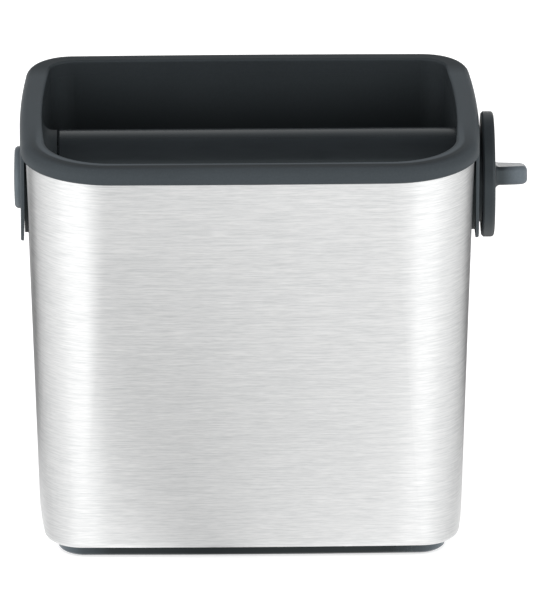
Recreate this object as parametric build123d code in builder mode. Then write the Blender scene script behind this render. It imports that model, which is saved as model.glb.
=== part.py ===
"""Espresso knock box: a brushed steel box with a moulded tub, and a padded bar that pulls out.

Millimetres. The origin is on the surface that the box stands on, under the middle of the body.
+X points to the grip of the bar, +Y to the rear of the box and +Z up.
"""
import os
from math import cos, radians, sin, tan

from build123d import *

# Body
overall_height = 133.2
rim_width = 144.2
rim_depth = 108.4
rim_height = 4.9
side_bow = 2.9
front_bow = 0.7
front_corner_radius = 28.0
rear_corner_radius = 15.0
foot_corner_radius = 12.0
wall_draft = 1.68

# Rim and its ears
rim_overhang = 1.45
rim_edge_radius = 3.4
rim_lower_edge = 0.4
ear_thickness = 1.0
ear_radius = 20.0
ear_edge_radius = 0.45
ear_hole_clearance = 0.25
skirt_clearance = 0.1
mouth_edge_radius = 0.7

# Steel shell
steel_thickness = 0.8
shell_tuck = 1.4
shell_edge_radius = 2.4
flange_reach = 14.0
flange_corner_radius = 6.0
notch_clearance = 0.3

# Tub
tub_inset = 5.65
tub_wall = 2.2
tongue_inset = 1.2
tongue_thickness = 1.2
tongue_height = 2.2
tongue_clearance = 0.05
tub_floor_level = 17.0
tub_floor_radius = 6.0
tub_flange_thickness = 2.0
tub_flange_clearance = 0.3
boss_radius = 17.4
boss_clearance = 0.1
collar_reach = 4.1
collar_fillet = 3.4
post_radius = 4.5
post_side_inset = 23.2
post_front_inset = 21.8

# Foot, pad and screws
foot_gap = 4.3
foot_inset = 4.2
foot_plan_radius = 8.5
foot_edge = 0.6
foot_spigot_clearance = 0.3
base_plate_rise = 2.8
base_floor = 2.2
base_wall = 1.8
base_rib_thickness = 1.4
base_boss_radius = 4.9
pad_stand = 0.6
pad_recess = 0.8
pad_inset = 8.0
pad_clearance = 0.1
pad_corner_radius = 6.0
screw_radius = 1.25
screw_head_radius = 2.6
screw_head_height = 1.5
screw_slot_width = 0.8
screw_slot_length = 3.2
screw_slot_depth = 0.7
screw_length = 8.6
screw_clearance = 0.25
screw_access_radius = 3.6
screw_cover = 0.9

# Knock bar
bar_drop = 21.9
bar_radius = 14.8
bar_end_gap = 0.3
bar_passage_clearance = 0.3
fit_clearance = 0.05
sleeve_edge = 0.5
core_radius = 8.0
core_wall = 1.5
tail_length = 24.0
pin_radius = 1.5
pin_inset = 12.0
pin_recess = 0.3
spigot_radius = 9.8
cap_reach = 2.0
cap_edge_radius = 1.4
cap_crown = 0.3
groove_width = 2.0
ring_width = 1.6
ring_height = 1.6
ring_edge_gap = 0.1
ring_set_back = 4.5

# Grip
disc_radius = 19.8
disc_thickness = 3.9
disc_crown = 0.4
disc_gap = 0.8
disc_outer_edge_radius = 1.1
disc_inner_edge = 0.6
hub_length = 6.6
grip_reach = 10.1
grip_length = 22.0
grip_tip_length = 15.0
grip_thickness = 5.8
grip_corner_radius = 5.0
grip_edge_radius = 1.5
grip_root_radius = 1.4
grip_turn = 16.0

# One overrun serves every cut
overrun = 1.0

# Levels that follow from the sizes above
rim_bottom = overall_height - rim_height
bar_level = overall_height - bar_drop
shell_bottom = foot_gap
shell_top = rim_bottom + shell_tuck
flange_top = shell_bottom + steel_thickness
base_bottom = pad_stand
base_plate_top = shell_bottom + base_plate_rise
tub_bottom = tub_floor_level - tub_wall
screw_seat = shell_bottom + screw_cover

# Plan sizes
half_width = rim_width / 2
half_depth = rim_depth / 2
draft_share = tan(radians(wall_draft))
foot_taper = rim_overhang + (rim_bottom - shell_bottom) * draft_share
mouth_inset = rim_overhang + tub_inset
tongue_reach = mouth_inset - tongue_inset - tongue_thickness
post_width = rim_width - 2 * (foot_taper + post_side_inset)
post_depth = rim_depth - 2 * (foot_taper + post_front_inset)
collar_root = half_width - rim_overhang - (rim_bottom - bar_level) * draft_share - tub_inset
collar_end = collar_root - collar_reach
boss_end = half_width - side_bow * (boss_radius / half_depth) ** 2 - ear_thickness - boss_clearance

# Places and radii along the bar
bar_axis = Axis((0, 0, bar_level), (1, 0, 0))
bar_section = Plane(origin=(0, 0, bar_level), x_dir=(1, 0, 0), z_dir=(0, -1, 0))
fin_tilt = radians(grip_turn)
fin_thickness = Axis((0, 0, bar_level), (0, sin(fin_tilt), cos(fin_tilt)))
fin_section = Plane(origin=(0, 0, bar_level), x_dir=(1, 0, 0), z_dir=(0, sin(fin_tilt), cos(fin_tilt)))
bar_bore_radius = bar_radius + bar_passage_clearance
hub_radius = bar_bore_radius - fit_clearance
tail_radius = core_radius - core_wall - fit_clearance
disc_inner = half_width + disc_gap
disc_outer = disc_inner + disc_thickness
disc_face = disc_outer + disc_crown
grip_end = disc_face + grip_reach
grip_root_end = disc_face + grip_root_radius
cap_face = half_width + cap_reach
cap_end = cap_face - cap_crown
bar_start = bar_end_gap - collar_end
bar_end = disc_inner - hub_length
groove_reach = ring_height / 2 + fit_clearance
plug_ring_radius = spigot_radius + fit_clearance - ring_edge_gap - ring_height / 2
hub_ring_radius = bar_bore_radius - ring_edge_gap - ring_height / 2
plug_groove = collar_end + ring_set_back
hub_groove = disc_inner - ring_set_back


def outline(inset, front_radius, rear_radius):
    """Four bowed sides with rounded corners, drawn in from the rim's outer edge by an inset."""
    x = half_width - inset
    y = half_depth - inset
    corner_x = x - side_bow
    corner_y = y - front_bow
    with BuildSketch() as shape:
        with BuildLine():
            ThreePointArc((-corner_x, -corner_y), (0, -y), (corner_x, -corner_y))
            ThreePointArc((corner_x, -corner_y), (x, 0), (corner_x, corner_y))
            ThreePointArc((corner_x, corner_y), (0, y), (-corner_x, corner_y))
            ThreePointArc((-corner_x, corner_y), (-x, 0), (-corner_x, -corner_y))
        make_face()
        fillet(shape.vertices().group_by(Axis.Y)[0], front_radius)
        fillet(shape.vertices().group_by(Axis.Y)[-1], rear_radius)
    return shape.sketch


def rim_outline(inset):
    """The rim's outline, drawn in by an inset."""
    return outline(inset, front_corner_radius - inset, rear_corner_radius - inset)


def body_outline(level, inset):
    """The steel body's outline at a level, drawn in by an inset: corners tighten towards the foot."""
    drop = rim_bottom - level
    foot_share = drop / (rim_bottom - shell_bottom)
    front_top = front_corner_radius - rim_overhang
    rear_top = rear_corner_radius - rim_overhang
    front = front_top + (foot_corner_radius - front_top) * foot_share
    rear = rear_top + (foot_corner_radius - rear_top) * foot_share
    return outline(rim_overhang + drop * draft_share + inset, front - inset, rear - inset)


def foot_outline(inset, corner_radius):
    """The outline at the foot of the steel, drawn in by an inset, with its own corner radius."""
    return outline(foot_taper + inset, corner_radius, corner_radius)


def body_block(low, high, inset, edge_radius):
    """A tapering block with a rounded lower edge, drawn in from the steel's outer face."""
    with BuildPart() as block:
        with BuildSketch(Plane.XY.offset(low)):
            add(body_outline(low, inset))
        with BuildSketch(Plane.XY.offset(high)):
            add(body_outline(high, inset))
        loft(ruled=True)
        fillet(block.faces().sort_by(Axis.Z)[0].edges(), edge_radius)
    return block.part


def across(x):
    """A plane square to the bar, centred on its axis."""
    return Plane(origin=(x, 0, bar_level), x_dir=(0, 1, 0), z_dir=(1, 0, 0))


def rod(start, end, radius):
    """A round rod along the bar's axis."""
    with BuildPart() as piece:
        with BuildSketch(across(start)):
            Circle(radius)
        extrude(amount=end - start)
    return piece.part


def tube(start, end, radius, bore_radius):
    """A round tube along the bar's axis."""
    with BuildPart() as piece:
        with BuildSketch(across(start)):
            Circle(radius)
            Circle(bore_radius, mode=Mode.SUBTRACT)
        extrude(amount=end - start)
    return piece.part


def ring_groove(x, ring_radius):
    """The groove of a ring: open outwards, and as deep as the ring needs."""
    return tube(x - groove_width / 2, x + groove_width / 2, bar_radius + overrun, ring_radius - groove_reach)


def arch(radius, top_level, reach):
    """A prism across the whole body: round below the bar's axis, straight up to a level above it."""
    with BuildPart() as piece:
        with BuildSketch(across(0)):
            Circle(radius)
            Rectangle(2 * radius, top_level - bar_level, align=(Align.CENTER, Align.MIN))
        extrude(amount=reach, both=True)
    return piece.part


def post_grid(low, high, radius):
    """Four upright rods on the screws' rectangle."""
    with BuildPart() as piece:
        with BuildSketch(Plane.XY.offset(low)):
            with GridLocations(post_width, post_depth, 2, 2):
                Circle(radius)
        extrude(amount=high - low)
    return piece.part


# The steel shell: tapering walls, a rounded lower edge, a flange at the foot and a notch at each side
with BuildPart() as steel_shell:
    add(body_block(shell_bottom, shell_top, 0, shell_edge_radius))
    hollow_radius = shell_edge_radius - steel_thickness
    add(body_block(flange_top, shell_top + overrun, steel_thickness, hollow_radius), mode=Mode.SUBTRACT)
    with BuildSketch(Plane.XY.offset(shell_bottom - overrun)):
        add(foot_outline(flange_reach, flange_corner_radius))
    extrude(amount=steel_thickness + 2 * overrun, mode=Mode.SUBTRACT)
    add(arch(boss_radius + notch_clearance, shell_top + overrun, rim_width), mode=Mode.SUBTRACT)
steel_shell.part.label = "steel_shell"

# The space inside the tub and its rim
with BuildPart() as mouth:
    add(body_block(tub_floor_level, overall_height + overrun, tub_inset, tub_floor_radius))

# The bosses that carry the bar, cut flat under the rim
with BuildPart() as bosses:
    add(rod(-boss_end, boss_end, boss_radius))
    split(bisect_by=Plane.XY.offset(rim_bottom), keep=Keep.BOTTOM)

# The tub: a tongue and a flange under the rim, a boss each side for the bar and four posts below
with BuildPart() as inner_tub:
    add(body_block(tub_bottom, rim_bottom, tub_inset - tub_wall, tub_floor_radius + tub_wall))
    with BuildSketch(Plane.XY.offset(rim_bottom - tub_flange_thickness)):
        add(rim_outline(rim_overhang + steel_thickness + tub_flange_clearance))
    extrude(amount=tub_flange_thickness)
    with BuildSketch(Plane.XY.offset(rim_bottom)):
        add(rim_outline(tongue_reach))
        add(rim_outline(tongue_reach + tongue_thickness), mode=Mode.SUBTRACT)
    extrude(amount=tongue_height)
    add(bosses.part)
    add(post_grid(base_plate_top, tub_bottom + tub_wall / 2, post_radius))
    add(mouth.part, mode=Mode.SUBTRACT)
    add(rod(-collar_root - tub_wall / 2, -collar_end, bar_radius))
    new_edges = inner_tub.edges(Select.LAST)
    fillet(new_edges.filter_by_position(Axis.X, -half_width, -collar_end - collar_fillet / 2), collar_fillet)
    add(post_grid(base_plate_top, tub_bottom, screw_radius + fit_clearance), mode=Mode.SUBTRACT)
    add(rod(-rim_width, 0, spigot_radius + fit_clearance), mode=Mode.SUBTRACT)
    add(rod(0, rim_width, bar_bore_radius), mode=Mode.SUBTRACT)
inner_tub.part.label = "inner_tub"

# The rim: a rounded band on top of the tub's walls, with an ear hanging over each boss
with BuildPart() as ears:
    with BuildSketch(Plane.XY.offset(bar_level - ear_radius)):
        add(rim_outline(0))
        add(rim_outline(ear_thickness), mode=Mode.SUBTRACT)
    extrude(amount=rim_bottom + rim_lower_edge - bar_level + ear_radius)
    add(arch(ear_radius, overall_height, rim_width), mode=Mode.INTERSECT)
    for face in (ears.faces().sort_by(Axis.X)[0], ears.faces().sort_by(Axis.X)[-1]):
        fillet(face.edges().sort_by(Axis.Z)[:-1], ear_edge_radius)

with BuildPart() as top_rim:
    with BuildSketch(Plane.XY.offset(rim_bottom)):
        add(rim_outline(0))
    extrude(amount=rim_height)
    fillet(top_rim.faces().sort_by(Axis.Z)[-1].edges(), rim_edge_radius)
    chamfer(top_rim.faces().sort_by(Axis.Z)[0].edges(), rim_lower_edge)
    with BuildSketch(Plane.XY.offset(rim_bottom)):
        add(rim_outline(rim_overhang - skirt_clearance))
        add(rim_outline(rim_overhang + steel_thickness + skirt_clearance), mode=Mode.SUBTRACT)
    extrude(amount=shell_tuck + skirt_clearance, mode=Mode.SUBTRACT)
    with BuildSketch(Plane.XY.offset(rim_bottom)):
        add(rim_outline(tongue_reach - tongue_clearance))
        add(rim_outline(tongue_reach + tongue_thickness + tongue_clearance), mode=Mode.SUBTRACT)
    extrude(amount=tongue_height + tongue_clearance, mode=Mode.SUBTRACT)
    add(mouth.part, mode=Mode.SUBTRACT)
    fillet(top_rim.faces().sort_by(Axis.Z)[-1].inner_wires()[0].edges(), mouth_edge_radius)
    add(ears.part)
    add(rod(-rim_width, 0, spigot_radius + ear_hole_clearance), mode=Mode.SUBTRACT)
    add(rod(0, rim_width, bar_bore_radius + ear_hole_clearance), mode=Mode.SUBTRACT)
top_rim.part.label = "top_rim"

# The base: a ribbed moulding that closes the foot of the shell, a rubber pad let into it and four screws
with BuildPart() as base_plate:
    with BuildSketch(Plane.XY.offset(base_bottom)):
        add(foot_outline(foot_inset, foot_plan_radius))
    extrude(amount=shell_bottom - base_bottom)
    chamfer(base_plate.faces().sort_by(Axis.Z)[0].edges(), foot_edge)
    with BuildSketch(Plane.XY.offset(shell_bottom)):
        add(foot_outline(flange_reach + foot_spigot_clearance, flange_corner_radius))
    extrude(amount=base_plate_top - shell_bottom)
    with BuildSketch(Plane.XY.offset(base_bottom + pad_recess + base_floor)):
        add(foot_outline(flange_reach + foot_spigot_clearance + base_wall, flange_corner_radius))
        with GridLocations(post_width / 2, 0, 3, 1):
            Rectangle(base_rib_thickness, rim_depth, mode=Mode.SUBTRACT)
        with GridLocations(0, post_depth / 2, 1, 3):
            Rectangle(rim_width, base_rib_thickness, mode=Mode.SUBTRACT)
        with GridLocations(post_width, post_depth, 2, 2):
            Circle(base_boss_radius, mode=Mode.SUBTRACT)
    extrude(amount=base_plate_top, mode=Mode.SUBTRACT)
    with BuildSketch(Plane.XY.offset(base_bottom)):
        add(foot_outline(pad_inset - pad_clearance, pad_corner_radius))
    extrude(amount=pad_recess, mode=Mode.SUBTRACT)
    add(post_grid(base_bottom, screw_seat, screw_head_radius + screw_clearance), mode=Mode.SUBTRACT)
    add(post_grid(screw_seat, base_plate_top, screw_radius + screw_clearance), mode=Mode.SUBTRACT)
base_plate.part.label = "base_plate"

with BuildPart() as foot_pad:
    with BuildSketch():
        add(foot_outline(pad_inset, pad_corner_radius))
        with GridLocations(post_width, post_depth, 2, 2):
            Circle(screw_access_radius, mode=Mode.SUBTRACT)
    extrude(amount=base_bottom + pad_recess)
foot_pad.part.label = "foot_pad"

with BuildPart() as base_screws:
    add(post_grid(screw_seat - screw_head_height, screw_seat, screw_head_radius))
    add(post_grid(screw_seat, screw_seat + screw_length, screw_radius))
    with BuildSketch(Plane.XY.offset(screw_seat - screw_head_height)):
        with GridLocations(post_width, post_depth, 2, 2):
            Rectangle(screw_slot_length, screw_slot_width)
            Rectangle(screw_slot_width, screw_slot_length)
    extrude(amount=screw_slot_depth, mode=Mode.SUBTRACT)
base_screws.part.label = "base_screws"

# The knock bar: a steel core, a thick rubber sleeve, an end plug and the grip, pinned to the core
with BuildPart() as core_pins:
    with BuildSketch(Plane.XY.offset(bar_level)):
        with Locations((bar_start + pin_inset, 0), (bar_end - pin_inset, 0)):
            Circle(pin_radius)
    extrude(amount=core_radius - pin_recess, both=True)
core_pins.part.label = "core_pins"

with BuildPart() as pin_holes:
    with BuildSketch(Plane.XY.offset(bar_level)):
        with Locations((bar_start + pin_inset, 0), (bar_end - pin_inset, 0)):
            Circle(pin_radius + fit_clearance)
    extrude(amount=bar_radius, both=True)

with BuildPart() as bar_core:
    add(tube(bar_start, bar_end, core_radius, core_radius - core_wall))
    add(pin_holes.part, mode=Mode.SUBTRACT)
bar_core.part.label = "bar_core"

with BuildPart() as bar_sleeve:
    add(tube(bar_start, bar_end, bar_radius, core_radius + fit_clearance))
    chamfer(bar_sleeve.edges().filter_by(GeomType.CIRCLE).group_by(SortBy.RADIUS)[-1], sleeve_edge)
bar_sleeve.part.label = "bar_sleeve"

with BuildPart() as end_plug:
    add(rod(bar_start, bar_start + tail_length, tail_radius))
    with BuildSketch(bar_section) as cap_profile:
        with BuildLine():
            Polyline((-cap_end, spigot_radius), (bar_start, spigot_radius), (bar_start, 0), (-cap_face, 0))
            TangentArc((-cap_face, 0), (-cap_end, spigot_radius), tangent=(0, 1))
        make_face()
        fillet(cap_profile.vertices().group_by(Axis.Y)[-1].sort_by(Axis.X)[0], cap_edge_radius)
    revolve(axis=bar_axis)
    add(ring_groove(-plug_groove, plug_ring_radius), mode=Mode.SUBTRACT)
    add(pin_holes.part, mode=Mode.SUBTRACT)
end_plug.part.label = "end_plug"

# The grip: a finger fin across the outer face of a disc, on a hub that fills the bore in the tub's boss
with BuildPart() as fin:
    with BuildSketch(fin_section):
        with BuildLine():
            Polyline(
                (disc_outer, -grip_length / 2),
                (grip_end, -grip_tip_length / 2),
                (grip_end, grip_tip_length / 2),
                (disc_outer, grip_length / 2),
                close=True,
            )
        make_face()
    extrude(amount=grip_thickness / 2, both=True)
    fillet(fin.faces().sort_by(Axis.X)[-1].edges().sort_by(fin_thickness)[1:3], grip_corner_radius)
    fin_root = fin.faces().sort_by(Axis.X)[0].edges()
    fin_corners = fin.edges().filter_by(fin_thickness)
    fillet(fin.edges() - fin_root - fin_corners, grip_edge_radius)

with BuildPart() as bar_handle:
    add(rod(bar_end - tail_length, bar_end, tail_radius))
    add(rod(bar_end, disc_inner, hub_radius))
    with BuildSketch(bar_section) as disc_profile:
        with BuildLine():
            Polyline((disc_outer, disc_radius), (disc_inner, disc_radius), (disc_inner, 0), (disc_face, 0))
            TangentArc((disc_face, 0), (disc_outer, disc_radius), tangent=(0, 1))
        make_face()
        fillet(disc_profile.vertices().group_by(Axis.Y)[-1].sort_by(Axis.X)[-1], disc_outer_edge_radius)
        chamfer(disc_profile.vertices().group_by(Axis.Y)[-1].sort_by(Axis.X)[0], disc_inner_edge)
    revolve(axis=bar_axis)
    add(fin.part)
    root_edges = bar_handle.edges(Select.LAST).filter_by_position(Axis.X, disc_inner, grip_root_end)
    fillet(root_edges, grip_root_radius)
    add(ring_groove(hub_groove, hub_ring_radius), mode=Mode.SUBTRACT)
    add(pin_holes.part, mode=Mode.SUBTRACT)
bar_handle.part.label = "bar_handle"

# The rings: one in each groove, holding the bar by friction
with BuildPart() as plug_ring:
    with BuildSketch(bar_section):
        with Locations((-plug_groove, plug_ring_radius)):
            Rectangle(ring_width, ring_height)
    revolve(axis=bar_axis)
plug_ring.part.label = "plug_ring"

with BuildPart() as hub_ring:
    with BuildSketch(bar_section):
        with Locations((hub_groove, hub_ring_radius)):
            Rectangle(ring_width, ring_height)
    revolve(axis=bar_axis)
hub_ring.part.label = "hub_ring"

pieces = (steel_shell, inner_tub, top_rim, base_plate, foot_pad, base_screws)
pieces += (core_pins, bar_core, bar_sleeve, end_plug, bar_handle, plug_ring, hub_ring)

os.makedirs("parts", exist_ok=True)
for piece in pieces:
    export_step(piece.part, f"parts/{piece.part.label}.step")
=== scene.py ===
"""Looks for the espresso knock box: finishes, floor, world, lamps and camera, in metres."""
import math

import bmesh
import bpy
from mathutils import Matrix, Vector


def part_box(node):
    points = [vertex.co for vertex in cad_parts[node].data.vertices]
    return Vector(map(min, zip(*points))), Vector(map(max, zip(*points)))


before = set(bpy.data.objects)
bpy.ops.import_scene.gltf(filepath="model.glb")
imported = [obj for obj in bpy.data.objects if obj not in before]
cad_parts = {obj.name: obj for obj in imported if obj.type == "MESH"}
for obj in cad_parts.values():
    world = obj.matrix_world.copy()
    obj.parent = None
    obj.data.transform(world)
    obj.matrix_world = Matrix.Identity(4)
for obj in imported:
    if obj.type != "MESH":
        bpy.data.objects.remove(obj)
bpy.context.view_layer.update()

# A Mix node repeats its socket names for each kind of data, so its colour sockets go by number
first_colour = 6
second_colour = 7
mixed_colour = 2


# Shader maths
class Wire:
    """The output of a shader node. Python's operators on it add Math nodes."""

    def __init__(self, graph, socket):
        self.graph = graph
        self.socket = socket

    def math(self, operation, *values):
        return self.graph.node("ShaderNodeMath", {"operation": operation}, dict(enumerate(values)))

    def __add__(self, other):
        return self.math("ADD", self, other)

    def __radd__(self, other):
        return self.math("ADD", other, self)

    def __sub__(self, other):
        return self.math("SUBTRACT", self, other)

    def __rsub__(self, other):
        return self.math("SUBTRACT", other, self)

    def __mul__(self, other):
        return self.math("MULTIPLY", self, other)

    def __rmul__(self, other):
        return self.math("MULTIPLY", other, self)

    def __truediv__(self, other):
        return self.math("DIVIDE", self, other)

    def __pow__(self, other):
        return self.math("POWER", self, other)

    def __abs__(self):
        return self.math("ABSOLUTE", self)

    def at_least(self, value):
        return self.math("MAXIMUM", self, value)

    def limited(self):
        """The value, kept between 0 and 1."""
        return self.math("MINIMUM", self, 1.0).at_least(0.0)

    def about(self, middle, swing):
        """A noise, which runs from 0 to 1, made to swing about a middle value instead."""
        return (self - 0.5) * swing + middle


class Graph:
    """The node tree of a material or of the world, emptied and built up again."""

    def __init__(self, owner):
        owner.use_nodes = True
        self.tree = owner.node_tree
        self.tree.nodes.clear()

    def node(self, kind, settings=None, inputs=None, output=0):
        """Adds a node: its settings first, then a value or a wire for each named or numbered socket."""
        made = self.tree.nodes.new(kind)
        for name, value in (settings or {}).items():
            if name == "stops":
                self.set_stops(made.color_ramp, value)
            else:
                setattr(made, name, value)
        for name, value in (inputs or {}).items():
            if isinstance(value, Wire):
                self.tree.links.new(value.socket, made.inputs[name])
            else:
                made.inputs[name].default_value = value
        return Wire(self, made.outputs[output]) if made.outputs else None

    @staticmethod
    def set_stops(ramp, stops):
        """Gives a colour ramp its stops, as pairs of a place and a colour."""
        while len(ramp.elements) > 1:
            ramp.elements.remove(ramp.elements[-1])
        ramp.elements[0].position = stops[0][0]
        ramp.elements[0].color = stops[0][1]
        for place, colour in stops[1:]:
            ramp.elements.new(place).color = colour

    def place(self, scale=(1, 1, 1), shift=(0, 0, 0)):
        """The piece's own coordinates, stretched and shifted."""
        own = self.node("ShaderNodeTexCoord", output="Object")
        return self.node("ShaderNodeMapping", {}, {"Vector": own, "Scale": scale, "Location": shift})

    def noise(self, vector, scale=1.0, detail=2.0, roughness=0.5):
        return self.node("ShaderNodeTexNoise", {}, {
            "Vector": vector, "Scale": scale, "Detail": detail, "Roughness": roughness})

    def split(self, vector):
        """The X, Y and Z of a vector."""
        return [self.node("ShaderNodeSeparateXYZ", {}, {"Vector": vector}, output=axis) for axis in "XYZ"]

    def ramp(self, place, levels):
        """A grey level at a place between 0 and 1, from pairs of a place and a level."""
        stops = [(at, grey(level)) for at, level in levels]
        return self.node("ShaderNodeValToRGB", {"stops": stops}, {0: place})

    def around(self, along, ahead, levels):
        """A grey level by the turn about the object: 0 degrees in front of it, 90 at its right."""
        turn = self.node("ShaderNodeMath", {"operation": "ARCTAN2"}, {0: along, 1: ahead * -1.0})
        return self.ramp(turn / math.tau + 0.5, [(angle / 360 + 0.5, level) for angle, level in levels])

    def blend(self, share, first, second):
        """A mix of two colours."""
        inputs = {0: share, first_colour: first, second_colour: second}
        return self.node("ShaderNodeMix", {"data_type": "RGBA"}, inputs, output=mixed_colour)

    def tones(self, share, colour, darkest, lightest):
        """A colour between its darkest tone and its lightest, both given as shares of it."""
        return self.blend(share, scaled(colour, darkest), scaled(colour, lightest))

    def bump(self, height, distance, strength=1.0, normal=None):
        """A relief, over another one where a normal is given."""
        inputs = {"Height": height, "Distance": distance, "Strength": strength}
        if normal:
            inputs["Normal"] = normal
        return self.node("ShaderNodeBump", {}, inputs)

    def ray(self, kind):
        """1 for rays of one kind, such as Camera or Glossy, and 0 for all others."""
        return self.node("ShaderNodeLightPath", output="Is " + kind + " Ray")

    def choose(self, share, first, second):
        """The first shader where the share is 0, and the second where it is 1."""
        return self.node("ShaderNodeMixShader", {}, {0: share, 1: first, 2: second})

    def finish(self, inputs):
        """A Principled shader with the given sockets, as the surface of the material."""
        shader = self.node("ShaderNodeBsdfPrincipled", {}, inputs)
        self.node("ShaderNodeOutputMaterial", {}, {"Surface": shader})


def grey(value):
    return (value, value, value, 1.0)


def scaled(colour, share):
    """A colour of three channels made darker or lighter, with an alpha of 1."""
    return [channel * share for channel in colour] + [1.0]


def off_edge(along, ahead, half_width, half_depth):
    """The distance from a rectangle about the middle, which is 0 inside it."""
    past_side = (abs(along) - half_width).at_least(0.0)
    past_front = (abs(ahead) - half_depth).at_least(0.0)
    return (past_side * past_side + past_front * past_front) ** 0.5


# Steel: the crown is a slope towards the side corners, steeper near the foot
crown_start = 0.0475
crown_softness = 0.005
crown_slope = 0.47
long_line_scale = (64, 64, 1850)
short_line_scale = (200, 200, 3000)
short_line_shift = (3, 1, 7)
cloud_scale = (9, 9, 30)
steel_shade = (0.62, 0.63, 0.632, 1.0)
steel_tint = (0.87, 0.872, 0.87, 1.0)


def brushed_steel():
    """Sheet steel with long level brush lines and a soft crown near its lower corners."""
    made = bpy.data.materials.new("brushed_steel_sheet")
    graph = Graph(made)
    low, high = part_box("steel_shell")
    along, _, up = graph.split(graph.place())
    past_start = abs(along) - crown_start
    fall = ((past_start * past_start + crown_softness ** 2) ** 0.5 + past_start) * 0.5
    lowness = ((high[2] - up) / (high[2] - low[2])).limited()
    crown = graph.bump(fall * lowness * -crown_slope, distance=1.0)
    long_lines = graph.noise(graph.place(long_line_scale), detail=3.0, roughness=0.7)
    short_lines = graph.noise(graph.place(short_line_scale, short_line_shift), roughness=0.7)
    clouds = graph.noise(graph.place(cloud_scale))
    grain = (long_lines + short_lines) * 0.5
    tone = grain.about(clouds.about(0.5, swing=0.15), swing=3.0)
    graph.finish({
        "Base Color": graph.blend(tone.limited(), steel_shade, steel_tint),
        "Metallic": 1.0,
        "Roughness": grain.about(0.4, swing=0.2),
        "Anisotropic": 0.8,
        "Anisotropic Rotation": 0.25,
        "Normal": graph.bump(grain, distance=0.00004, strength=0.4, normal=crown),
    })
    return made


# Plating
plating_shade = 0.5
plating_tint = 0.68


def plated_steel(name):
    """Bright plated or drawn steel with fine turning marks."""
    made = bpy.data.materials.new(name)
    graph = Graph(made)
    marks = graph.noise(graph.place(), scale=900.0, detail=3.0, roughness=0.6)
    graph.finish({
        "Base Color": graph.blend(marks, grey(plating_shade), grey(plating_tint)),
        "Metallic": 1.0,
        "Roughness": marks.about(0.3, swing=0.2),
        "Normal": graph.bump(marks, distance=0.00001, strength=0.4),
    })
    return made


# Mouldings and rubber
cool_sheen = (0.84, 0.97, 1.0, 1.0)
flow_share = 0.4


def moulded_plastic(name, colour, roughness, specular, painted_light_and_shade=None):
    """Dark moulded plastic with a fine eroded grain over broad flow marks.

    Painted light and shade, where given, is a function that gives the share of the colour that each place
    keeps.
    """
    made = bpy.data.materials.new(name)
    graph = Graph(made)
    place = graph.place()
    grain = graph.noise(place, scale=1500.0, detail=3.0, roughness=0.65)
    flow = graph.noise(place, scale=28.0, detail=3.0)
    mottle = flow * flow_share + grain * (1.0 - flow_share)
    tone = graph.tones(mottle.limited(), colour, darkest=0.7, lightest=1.35)
    if painted_light_and_shade:
        # Painted light and shade: shares that darken or lighten the colour by place
        tone = graph.blend(painted_light_and_shade(graph), grey(0.0), tone)
    graph.finish({
        "Base Color": tone,
        "Roughness": flow.about(grain.about(roughness, swing=0.1), swing=0.12),
        "Specular IOR Level": specular,
        "Specular Tint": cool_sheen,
        "Normal": graph.bump(grain, distance=0.00003, strength=0.6),
    })
    return made


def moulded_rubber(name, colour, roughness, scuff_scale=(150, 150, 150)):
    """Dark rubber with a matt skin and faint scuffs."""
    made = bpy.data.materials.new(name)
    graph = Graph(made)
    skin = graph.noise(graph.place(), scale=1900.0, detail=3.0, roughness=0.7)
    scuffs = graph.noise(graph.place(scuff_scale), detail=4.0, roughness=0.6)
    graph.finish({
        "Base Color": graph.tones(scuffs, colour, darkest=0.85, lightest=1.25),
        "Roughness": scuffs.about(skin.about(roughness, swing=0.08), swing=0.16),
        "Specular Tint": cool_sheen,
        "Normal": graph.bump(skin, distance=0.000025, strength=0.5),
    })
    return made


# Tub: painted shade, as shares of its colour, from its underside at 0 to its top at 1
tub_painted_shade = [(0.0, 0.06), (0.74, 0.14), (0.86, 0.5), (0.96, 1.0)]


def painted_depth_shade(graph):
    """Painted shade: the tub is darker the deeper inside it, where less light reaches."""
    low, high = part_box("inner_tub")
    up = graph.split(graph.place())[2]
    return graph.ramp((up - low[2]) / (high[2] - low[2]), tub_painted_shade)


# Rim: the outline of its mouth
mouth_inset = 0.0071
mouth_front_radius = 0.0209
mouth_rear_radius = 0.0079

# Shares by the place from the rim's front at 0 to its rear at 1; the rim's levels are painted shade,
# darkest at its rear, and the painted edge marks show only at the front
front_half = [(0.49, 1.0), (0.51, 0.0)]
rim_painted_shade = [(0.05, 0.5), (0.3, 0.6), (0.8, 0.6), (0.88, 0.33), (1.0, 0.33)]
painted_edge_front = [(0.1, 1.0), (0.4, 0.0)]

# Shares by the place across the edge of the mouth, which is at 0.5, outwards to 1 on top of the rim:
# painted shade on the inner face, and a painted highlight beside a painted dark groove on the edge
edge_window = 0.01
inner_face = [(0.6, 1.0), (0.7, 0.0)]
painted_edge_highlight = [(0.5, 0.0), (0.52, 1.0), (0.63, 1.0), (0.69, 0.0)]
painted_edge_groove = [(0.64, 0.0), (0.72, 1.0), (0.85, 0.8), (1.0, 0.0)]
painted_mouth_shade = 0.3
highlight_gain = 0.3
groove_loss = 0.24

# The edge gives way to the inner face about halfway down this depth below the rim's top
lip_window = 0.0018
under_lip = [(0.4, 0.0), (0.6, 1.0)]


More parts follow.
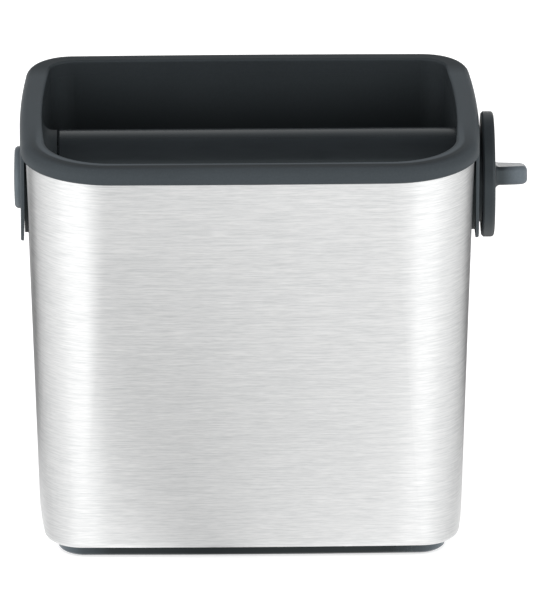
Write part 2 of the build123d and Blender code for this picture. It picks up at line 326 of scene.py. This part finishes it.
def painted_rim_light_and_shade(graph):
    """Painted shade and highlight: the rim is darker at its rear and in its mouth, and its front edge is
    painted with a light highlight beside a dark groove.
    """
    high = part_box("top_rim")[1]
    along, ahead, up = graph.split(graph.place())
    rearness = ahead / high[1] * 0.5 + 0.5
    forward = graph.ramp(rearness, front_half)
    corner = forward * (mouth_front_radius - mouth_rear_radius) + mouth_rear_radius
    straight_width = (high[0] - mouth_inset) - corner
    straight_depth = (high[1] - mouth_inset) - corner
    off_mouth = off_edge(along, ahead, straight_width, straight_depth) - corner
    across = off_mouth / edge_window + 0.5
    inner = graph.ramp(across, inner_face)
    edge_highlight = graph.ramp(across, painted_edge_highlight) * highlight_gain
    groove_shade = graph.ramp(across, painted_edge_groove) * groove_loss
    below = graph.ramp((high[2] - up) / lip_window, under_lip)
    whole = graph.ramp(rearness, rim_painted_shade)
    # Painted shade over the rim and in its mouth, then the painted highlight and dark groove along the
    # front edge
    shaded_rim = whole + (painted_mouth_shade - whole) * inner * below
    return shaded_rim + (edge_highlight - groove_shade) * (1.0 - below) * graph.ramp(rearness, painted_edge_front)


# Base plate: painted highlights by the place from its middle at 0 to its edges at 1
side_highlights = [(0.7, 0.0), (0.85, 0.4), (0.95, 1.0)]
end_highlights = [(0.5, 0.0), (0.85, 1.0)]
corner_highlight_gain = 0.96
base_shade = 0.035


def painted_corner_highlights(graph):
    """Painted highlight: the corners of the base are lighter than its middle."""
    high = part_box("base_plate")[1]
    along, ahead, _ = graph.split(graph.place())
    sideward = graph.ramp(abs(along) / high[0], side_highlights)
    endward = graph.ramp(abs(ahead) / high[1], end_highlights)
    return sideward * endward * corner_highlight_gain + base_shade


# Grip: painted highlight, as shares of its colour, from its outer end at 0 inwards to its reach at 1
grip_reach = 0.0112
grip_highlight_shares = [(0.0, 1.0), (0.35, 0.9), (0.7, 0.27), (1.0, 0.22)]


def painted_grip_highlight(graph):
    """Painted highlight: the outer end of the grip is lighter than its inner part."""
    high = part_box("bar_handle")[1]
    along = graph.split(graph.place())[0]
    return graph.ramp((high[0] - along) / grip_reach, grip_highlight_shares)


# Finishes of the nodes
finishes = {
    "steel_shell": brushed_steel(),
    # The tub, rim, base and grip get painted shade and painted highlights in their colours
    "inner_tub": moulded_plastic(
        "tub_moulding", (0.027, 0.032, 0.036), roughness=0.5, specular=0.35, painted_light_and_shade=painted_depth_shade),
    "top_rim": moulded_plastic(
        "rim_moulding", (0.097, 0.114, 0.128), roughness=0.55, specular=0.25, painted_light_and_shade=painted_rim_light_and_shade),
    "base_plate": moulded_plastic(
        "base_moulding", (0.12, 0.143, 0.163), roughness=0.25, specular=0.38, painted_light_and_shade=painted_corner_highlights),
    "foot_pad": moulded_rubber("foot_rubber_skin", (0.02, 0.021, 0.022), roughness=0.75),
    "base_screws": plated_steel("screw_plating"),
    "bar_core": plated_steel("core_tube_steel"),
    "core_pins": plated_steel("pin_steel"),
    "bar_sleeve": moulded_rubber(
        "sleeve_rubber_skin", (0.0175, 0.0208, 0.0238), roughness=0.22, scuff_scale=(60, 260, 260)),
    "end_plug": moulded_plastic("plug_moulding", (0.116, 0.137, 0.156), roughness=0.36, specular=0.5),
    "bar_handle": moulded_plastic(
        "grip_moulding", (0.122, 0.144, 0.164), roughness=0.36, specular=0.35, painted_light_and_shade=painted_grip_highlight),
    "plug_ring": moulded_rubber("plug_ring_rubber", (0.015, 0.015, 0.015), roughness=0.6),
    "hub_ring": moulded_rubber("hub_ring_rubber", (0.015, 0.015, 0.015), roughness=0.6),
}

for node, finish in finishes.items():
    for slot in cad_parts[node].material_slots:
        slot.material = finish

# Floor
floor_reach = 4.0
floor_shade = 0.74
floor_tint = 0.76
floor_glow = 0.62
floor_strength = 2.0

# Levels that metal and gloss see in the floor, far from the foot and near it, by the turn in degrees: a
# painted reflection, whose lower near levels are a painted shadow about the foot
far_front = [
    (-42, 0.76), (-32, 0.74), (-18, 0.65), (-6, 0.67), (6, 0.68), (18, 0.7), (30, 0.72), (42, 0.72)]
far_side = [
    (56, 0.7), (72, 0.68), (90, 0.62), (115, 0.5), (135, 0.22), (150, 0.45), (165, 0.95), (180, 0.95)]
near_front = [
    (-42, 0.72), (-32, 0.53), (-20, 0.27), (-12, 0.24), (-5, 0.33), (6, 0.45), (18, 0.5), (30, 0.6),
    (42, 0.68)]
near_side = [
    (56, 0.7), (72, 0.68), (90, 0.62), (105, 0.5), (120, 0.34), (134, 0.07), (145, 0.02), (180, 0.02)]

# The share of the near levels, and a level for all, by the place from the foot at 0 to its reach at 1;
# the dip near the foot is painted shadow
foot_reach = 0.4
nearness = [
    (0.0, 0.5), (0.05, 0.5), (0.1, 0.45), (0.15, 0.55), (0.25, 0.8), (0.4, 1.0), (0.7, 0.3), (0.9, 0.0)]
foot_levels = [
    (0.0, 0.93), (0.22, 1.0), (0.4, 0.9), (0.65, 0.94), (0.78, 1.02), (0.88, 1.12), (1.0, 1.12)]


def all_round(front, side):
    """The levels in front, between those of one side on the right and their mirror on the left."""
    return [(-angle, level) for angle, level in reversed(side)] + front + side


def pale_floor():
    """A matt floor that glows white to the camera, and shows metal and gloss levels of its own."""
    made = bpy.data.materials.new("pale_floor")
    graph = Graph(made)
    place = graph.place()
    mottle = graph.noise(place, scale=3.0)
    paint = graph.blend(mottle, grey(floor_shade), grey(floor_tint))
    matt = graph.node("ShaderNodeBsdfDiffuse", {}, {"Color": paint})
    glow = graph.node("ShaderNodeEmission", {}, {"Color": grey(1.0), "Strength": floor_glow})
    lit = graph.node("ShaderNodeAddShader", {}, {0: matt, 1: glow})
    along, ahead, _ = graph.split(place)
    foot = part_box("base_plate")[1]
    off_foot = off_edge(along, ahead, foot[0], foot[1]) / foot_reach
    far = graph.around(along, ahead, all_round(far_front, far_side))
    near = graph.around(along, ahead, all_round(near_front, near_side))
    level = graph.blend(graph.ramp(off_foot, nearness), far, near) * graph.ramp(off_foot, foot_levels)
    sheet = graph.node("ShaderNodeEmission", {}, {"Color": level * floor_strength})
    direct = graph.choose(graph.ray("Camera"), matt, lit)
    surface = graph.choose(graph.ray("Glossy"), direct, sheet)
    graph.node("ShaderNodeOutputMaterial", {}, {"Surface": surface})
    return made


floor_mesh = bpy.data.meshes.new("floor")
shape = bmesh.new()
bmesh.ops.create_grid(shape, x_segments=1, y_segments=1, size=floor_reach)
shape.to_mesh(floor_mesh)
shape.free()
floor = bpy.data.objects.new("floor", floor_mesh)
bpy.context.scene.collection.objects.link(floor)
floor_mesh.materials.append(pale_floor())

# World: levels by the turn in degrees, and by the height from the horizon at 0 to overhead at 1
mirror_levels = [
    (-180, 0.9), (-168, 0.9), (-155, 0.2), (-135, 0.2), (-105, 0.65), (-60, 1.0), (-30, 0.9), (0, 0.85),
    (30, 0.9), (60, 1.0), (105, 0.65), (135, 0.2), (155, 0.2), (168, 0.9), (180, 0.9)]
front_heights = [(0.0, 1.0), (0.15, 1.0), (0.5, 0.35), (1.0, 0.1)]
back_heights = [(0.0, 0.5), (0.45, 0.6), (0.65, 0.3), (0.8, 0.1), (1.0, 0.05)]
back_steepness = 2.0
room_levels = [
    (-180, 0.25), (-125, 0.8), (-85, 1.5), (-45, 0.9), (0, 0.75), (45, 0.9), (85, 1.3), (125, 0.7),
    (180, 0.25)]
room_heights = [(0.0, 1.2), (0.3, 1.15), (0.6, 0.95), (1.0, 0.95)]


def studio():
    """A soft room for matt surfaces, another one for mirrors, and white behind the object."""
    made = bpy.data.worlds.new("studio")
    graph = Graph(made)
    along, ahead, height = graph.split(graph.node("ShaderNodeTexCoord", output="Generated"))
    backness = (ahead * back_steepness + 0.5).limited()
    front_height = graph.ramp(height, front_heights)
    back_height = graph.ramp(height, back_heights)
    mirror_height = graph.blend(backness, front_height, back_height)
    mirror_level = graph.around(along, ahead, mirror_levels) * mirror_height
    room_level = graph.around(along, ahead, room_levels) * graph.ramp(height, room_heights)
    mirror = graph.node("ShaderNodeBackground", {}, {"Color": mirror_level})
    room = graph.node("ShaderNodeBackground", {}, {"Color": room_level})
    white = graph.node("ShaderNodeBackground", {}, {"Color": grey(1.0)})
    lighting = graph.choose(graph.ray("Glossy"), room, mirror)
    backdrop = (graph.ray("Camera") + graph.ray("Transmission")).limited()
    graph.node("ShaderNodeOutputWorld", {}, {"Surface": graph.choose(backdrop, lighting, white)})
    return made


bpy.context.scene.world = studio()

# Lamps
lamp_aim = (0.0, 0.0, 0.07)
left_lamp_place = (-1.25, -0.9, 0.55)
right_lamp_place = (1.25, -0.9, 0.55)
front_lamp_place = (0.0, -1.2, 1.3)


def softbox(name, place, width, height, power):
    """A rectangular lamp aimed at the middle of the box."""
    lamp = bpy.data.lights.new(name, "AREA")
    lamp.shape = "RECTANGLE"
    lamp.size = width
    lamp.size_y = height
    lamp.energy = power
    made = bpy.data.objects.new(name, lamp)
    bpy.context.scene.collection.objects.link(made)
    made.location = place
    made.rotation_euler = (Vector(lamp_aim) - Vector(place)).to_track_quat("-Z", "Y").to_euler()


softbox("left_softbox", left_lamp_place, width=1.2, height=1.0, power=3.9)
softbox("right_softbox", right_lamp_place, width=1.2, height=1.0, power=3.9)
softbox("front_softbox", front_lamp_place, width=1.2, height=0.7, power=1.5)

# Camera
camera_place = (-0.03406, -2.81600, 1.16713)
camera_aim = (0.00610, -0.02119, 0.07742)
camera_roll = math.radians(-0.107)
camera_data = bpy.data.cameras.new("camera")
camera_data.sensor_fit = "HORIZONTAL"
camera_data.sensor_width = 36.0
camera_data.lens = 636.94
camera_data.clip_end = 20.0
camera = bpy.data.objects.new("camera", camera_data)
bpy.context.scene.collection.objects.link(camera)
camera.location = camera_place
aim_turn = (Vector(camera_aim) - Vector(camera_place)).to_track_quat("-Z", "Y").to_matrix()
camera.rotation_euler = (aim_turn @ Matrix.Rotation(camera_roll, 3, "Z")).to_euler()
bpy.context.scene.camera = camera
bpy.context.scene.view_settings.view_transform = "Standard"
